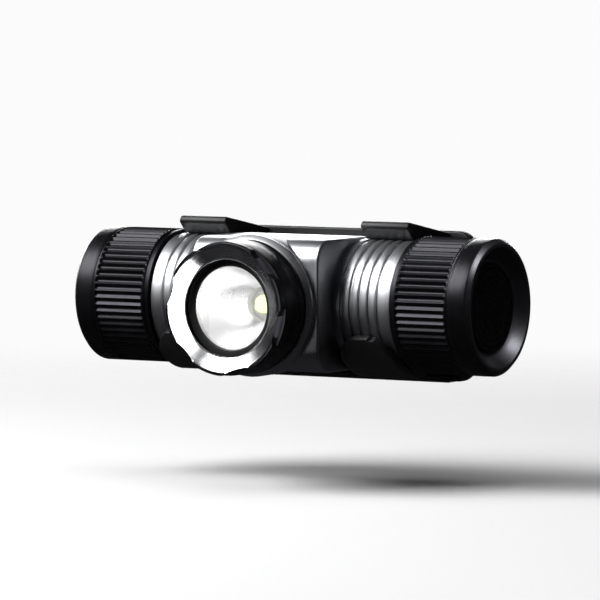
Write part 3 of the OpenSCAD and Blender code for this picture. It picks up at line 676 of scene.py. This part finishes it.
group, socket = flute_tree()
cap_r = 14.98
shell = [(13.13, 30.6), (14.6, 30.6), (14.68, 30.68), (14.68, 31.65), (14.72, 31.74), (14.9, 31.8),
         (cap_r, 31.9)]
shell += [(cap_r, 31.95 + 0.1 * k) for k in range(8)]
shell += [(cap_r, 32.7 + 1.1 * k) for k in range(1, 10)]
shell += [(cap_r, 43.7 + 0.1 * k) for k in range(8)]
shell += [(cap_r, 44.5), (14.95, 44.56), (14.88, 44.6), (14.88, 44.85), (14.95, 44.9), (cap_r, 44.96),
          (cap_r, 46), (cap_r, 47.5), (cap_r, 48.85), (14.95, 48.98), (14.88, 49.1), (14.1, 49.88),
          (14, 49.96), (13.88, 50)]
switch_end = [(13.3, 50), (13.2, 49.96), (13.12, 49.9), (12.4, 49.15), (11.6, 48.35), (10.72, 47.48),
              (10.6, 47.42), (10.5, 47.4), (9.9, 47.4), (9.8, 47.36), (9.75, 47.3), (9.75, 46.1),
              (9.8, 46), (10.95, 46), (11, 45.95), (11, 38.8)]
contact_end = [(13.3, 50), (13.2, 49.97), (13.1, 49.92), (12.4, 49.6), (11.7, 49.26), (11.55, 49.21),
               (11.4, 49.2), (6, 49.2), (0, 49.2), (0, 46.8), (10.9, 46.8), (11, 46.7), (11, 38.8)]
for side, name, end, body, node in ((1, "switch_end_cap", switch_end, "switch_end", "switch_cap"),
                                    (-1, "contact_end_cap", contact_end, "contact_end", "contact_cap")):
    cap = spun(name, shell + end + [(13.02, 38.8), (13.08, 38.74)], out_along(side), 480)
    miller = cap.modifiers.new("maker", "NODES")
    miller.node_group = group
    for key, value in (("Flutes", 60.0), ("Depth", 0.00045), ("Axis", axis_y / 1000),
                       ("Radius", cap_r / 1000), ("Start", 0.0319), ("End", 0.0444), ("Run Out", 0.0006),
                       ("Finish", black_anodised)):
        miller[socket[key]] = value
    settle(cap)
    dress(cap, black_anodised, body, [node], 40)

# ---- Switch boot ------------------------------------------------------------
# A moulded silicone boot that seals the click switch. Its flange is trapped behind the cap's web,
# and the dome that the finger pushes has a ring of grip dots.

# Silicone rubber, moulded: a soft deep black, dull, with a fine grain.
boot_rubber, tree, shader = finish_of("silicone_boot_moulded", IOR=1.43, Specular_IOR_Level=0.3)
grained(tree, shader, "060606", "0d0d0e", (0.45, 0.62), 4, 0.3, 0.01)
skirt = spun("boot_skirt", round_corners([
    (8.75, 45.2, 0.1), (10.95, 45.2, 0.15), (10.95, 46, 0.1), (9.65, 46, 0.1), (9.65, 48.18, 0.35),
    (8.75, 48.18, 0.2)], 4), out_along(1), 160)
dress(skirt, boot_rubber, "switch_end", ["switch_boot"], 50)


dome_r, crown_r, groove_mid = 8.6, 37.48, 7.1


def dome_h(r):
    """Height of the boot's dome at a radius: a low crown with a ring groove near its edge."""
    groove = 0.3 * math.exp(-((r - groove_mid) / 0.35) ** 2)
    return 48.2 + math.sqrt(crown_r ** 2 - r * r) - math.sqrt(crown_r ** 2 - dome_r ** 2) - groove


crown = [(dome_r * k / 40, dome_h(dome_r * k / 40)) for k in range(39)]
crown += [(8.5, 48.18), (dome_r, 48.02), (dome_r, 46.1), (8.5, 46), (0, 46)]
dome = spun("boot_button", crown, out_along(1), 128)
dress(dome, boot_rubber, "switch_button", ["boot_dome"], 50)


def dot_tree():
    """Geometry nodes for the grip dots: rings of small domes on the crown."""
    group, ids, given = tree_with("grip_dots", ("Inner Ring", "Middle Ring", "Outer Ring", "Dot"))
    dot = add(group, "GeometryNodeMeshUVSphere", {"Segments": 16, "Rings": 8, "Radius": given["Dot"]})
    rings = add(group, "GeometryNodeJoinGeometry")
    for count, name in ((6, "Inner Ring"), (12, "Middle Ring"), (18, "Outer Ring")):
        circle = add(group, "GeometryNodeMeshCircle", {"Vertices": count, "Radius": given[name]})
        group.links.new(circle.outputs[0], rings.inputs[0])
    placed = add(group, "GeometryNodeInstanceOnPoints", {
        "Points": rings.outputs[0], "Instance": dot.outputs[0], "Scale": (1, 1, 0.6)})
    end_tree(group, placed.outputs[0], given["Finish"])
    return group, ids


group, socket = dot_tree()
dots = grow("grip_dots", group, {
    socket["Inner Ring"]: 0.0018, socket["Middle Ring"]: 0.0036, socket["Outer Ring"]: 0.0054,
    socket["Dot"]: 0.00042, socket["Finish"]: boot_rubber})
lay(dots, lambda a, b, h: (dome_h(math.hypot(a, b)) + h, axis_y + a, b))
dress(dots, boot_rubber, "switch_button", [], 80)

# ---- Studio -----------------------------------------------------------------
# A pale floor that fades into a pale backdrop, a large soft light above and to the left, a low light
# behind, and one on the switch's end. The near right is left dark, which gives the metal its contrast.
middle = Vector((0.0, -0.0195, 0.0))
azimuth, elevation, distance = math.radians(30.2), math.radians(3.9), 1.25


def away(azimuth, elevation, distance):
    """A point at a distance from the lamp; azimuth 0 is in front of it, and 90 at its switch end."""
    level = math.cos(elevation) * distance
    return middle + Vector((math.sin(azimuth) * level, -math.cos(azimuth) * level,
                            math.sin(elevation) * distance))


camera = bpy.data.objects.new("camera", bpy.data.cameras.new("camera"))
bpy.context.scene.collection.objects.link(camera)
camera.location = away(azimuth, elevation, distance)
camera.rotation_euler = (middle - camera.location).to_track_quat("-Z", "Y").to_euler()
camera.data.lens = 340
camera.data.clip_start = 0.01
bpy.context.scene.camera = camera


def flag(light, pieces):
    """Shades a light with flags, so that it falls on some of the pieces alone."""
    group = bpy.data.collections.new(light.name + "_pieces")
    for piece in pieces:
        group.objects.link(piece)
    light.light_linking.receiver_collection = group


for name, turn, height, far, width, tall, bright, mirrored in (
        ("key", -46, 42, 0.8, 0.55, 0.45, 11.0, True), ("snoot", 95, 48, 0.8, 0.3, 0.25, 45.0, True),
        ("behind", 218, 14, 0.8, 0.8, 0.3, 9.0, True), ("over_floor", 0, 88, 0.9, 0.9, 0.9, 1.2, False)):
    lamp = bpy.data.lights.new(name, "AREA")
    lamp.shape, lamp.size, lamp.size_y = "RECTANGLE", width, tall
    lamp.energy = bright * math.pi * width * tall
    light = bpy.data.objects.new(name, lamp)
    bpy.context.scene.collection.objects.link(light)
    light.location = away(math.radians(turn), math.radians(height), far)
    light.rotation_euler = (middle - light.location).to_track_quat("-Z", "Y").to_euler()
    light.visible_camera, light.visible_glossy = False, mirrored
    if name == "snoot":
        flag(light, [bpy.data.objects["switch_end_cap"]])
    if name == "behind":
        flag(light, [piece for piece in bpy.data.objects if piece.type == "MESH"])

world = bpy.data.worlds.new("studio")
world.use_nodes = True
world.node_tree.nodes["Background"].inputs[0].default_value = (0.02, 0.02, 0.022, 1)
bpy.context.scene.world = world
bpy.context.scene.view_settings.view_transform = "Standard"

# Painted board: pale and dull. It fades out at its edge, so that no horizon shows.
paper = bpy.data.materials.new("board_painted_pale")
paper.use_nodes = True
tree = paper.node_tree
tree.nodes.clear()
place = add(tree, "ShaderNodeTexCoord").outputs["Object"]
reach = add(tree, "ShaderNodeVectorMath", {0: place}, operation="LENGTH")
fade = add(tree, "ShaderNodeMapRange", {0: reach.outputs["Value"], 1: 0.1, 2: 0.42, 3: 0.0, 4: 1.0},
           interpolation_type="SMOOTHSTEP")
dull = add(tree, "ShaderNodeBsdfDiffuse", {"Color": tint("f4f4f4")})
clear = add(tree, "ShaderNodeBsdfTransparent")
blend = add(tree, "ShaderNodeMixShader", {0: fade.outputs[0], 1: dull.outputs[0], 2: clear.outputs[0]})
add(tree, "ShaderNodeOutputMaterial", {"Surface": blend.outputs[0]})
floor = solid("floor", [(-450, -450, 0), (450, -450, 0), (450, 450, 0), (-450, 450, 0)], [[0, 1, 2, 3]])
floor.data.materials.append(paper)
floor.location = (0, -0.02, -0.04)
floor.visible_glossy = False

backdrop_light = bpy.data.materials.new("backdrop_pale")
backdrop_light.use_nodes = True
tree = backdrop_light.node_tree
tree.nodes.clear()
glow = add(tree, "ShaderNodeEmission", {"Color": tint("fbfbfb"), "Strength": 1.0})
add(tree, "ShaderNodeOutputMaterial", {"Surface": glow.outputs[0]})
dome_far = 2600
arc = [(max(0, dome_far * math.sin(math.radians(turn / 2))), -dome_far * math.cos(math.radians(turn / 2)))
       for turn in range(0, 361, 15)]
backdrop = spun("backdrop", arc, lambda a, b, h: (a, b, h), 48)
backdrop.data.shade_smooth()
backdrop.data.materials.append(backdrop_light)
for ray in ("visible_diffuse", "visible_glossy", "visible_transmission", "visible_shadow"):
    setattr(backdrop, ray, False)

# White cards in front. They are flagged, so that only the bright-cut bezel, the glass and the reflector
# mirror the near one, and only the glass and the reflector mirror the far one.
card_white = bpy.data.materials.new("card_white")
card_white.use_nodes = True
tree = card_white.node_tree
tree.nodes.clear()
glow = add(tree, "ShaderNodeEmission", {"Color": tint("ffffff"), "Strength": 3.6})
add(tree, "ShaderNodeOutputMaterial", {"Surface": glow.outputs[0]})
light_source = [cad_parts[name] for name in ("led_base", "led_phosphor", "led_dome")]
for left, right, low, high, pieces in ((2, 52, -50, 38, [bezel, lens, reflector, *light_source]),
                                       (-52, -4, -24, 26, [lens, reflector, *light_source])):
    corners = [away(math.radians(turn), math.radians(height), 0.6) * 1000
               for turn, height in ((left, low), (right, low), (right, high), (left, high))]
    card = solid("card", corners, [[0, 1, 2, 3]])
    card.data.materials.append(card_white)
    for ray in ("visible_camera", "visible_diffuse", "visible_shadow"):
        setattr(card, ray, False)
    flag(card, pieces)
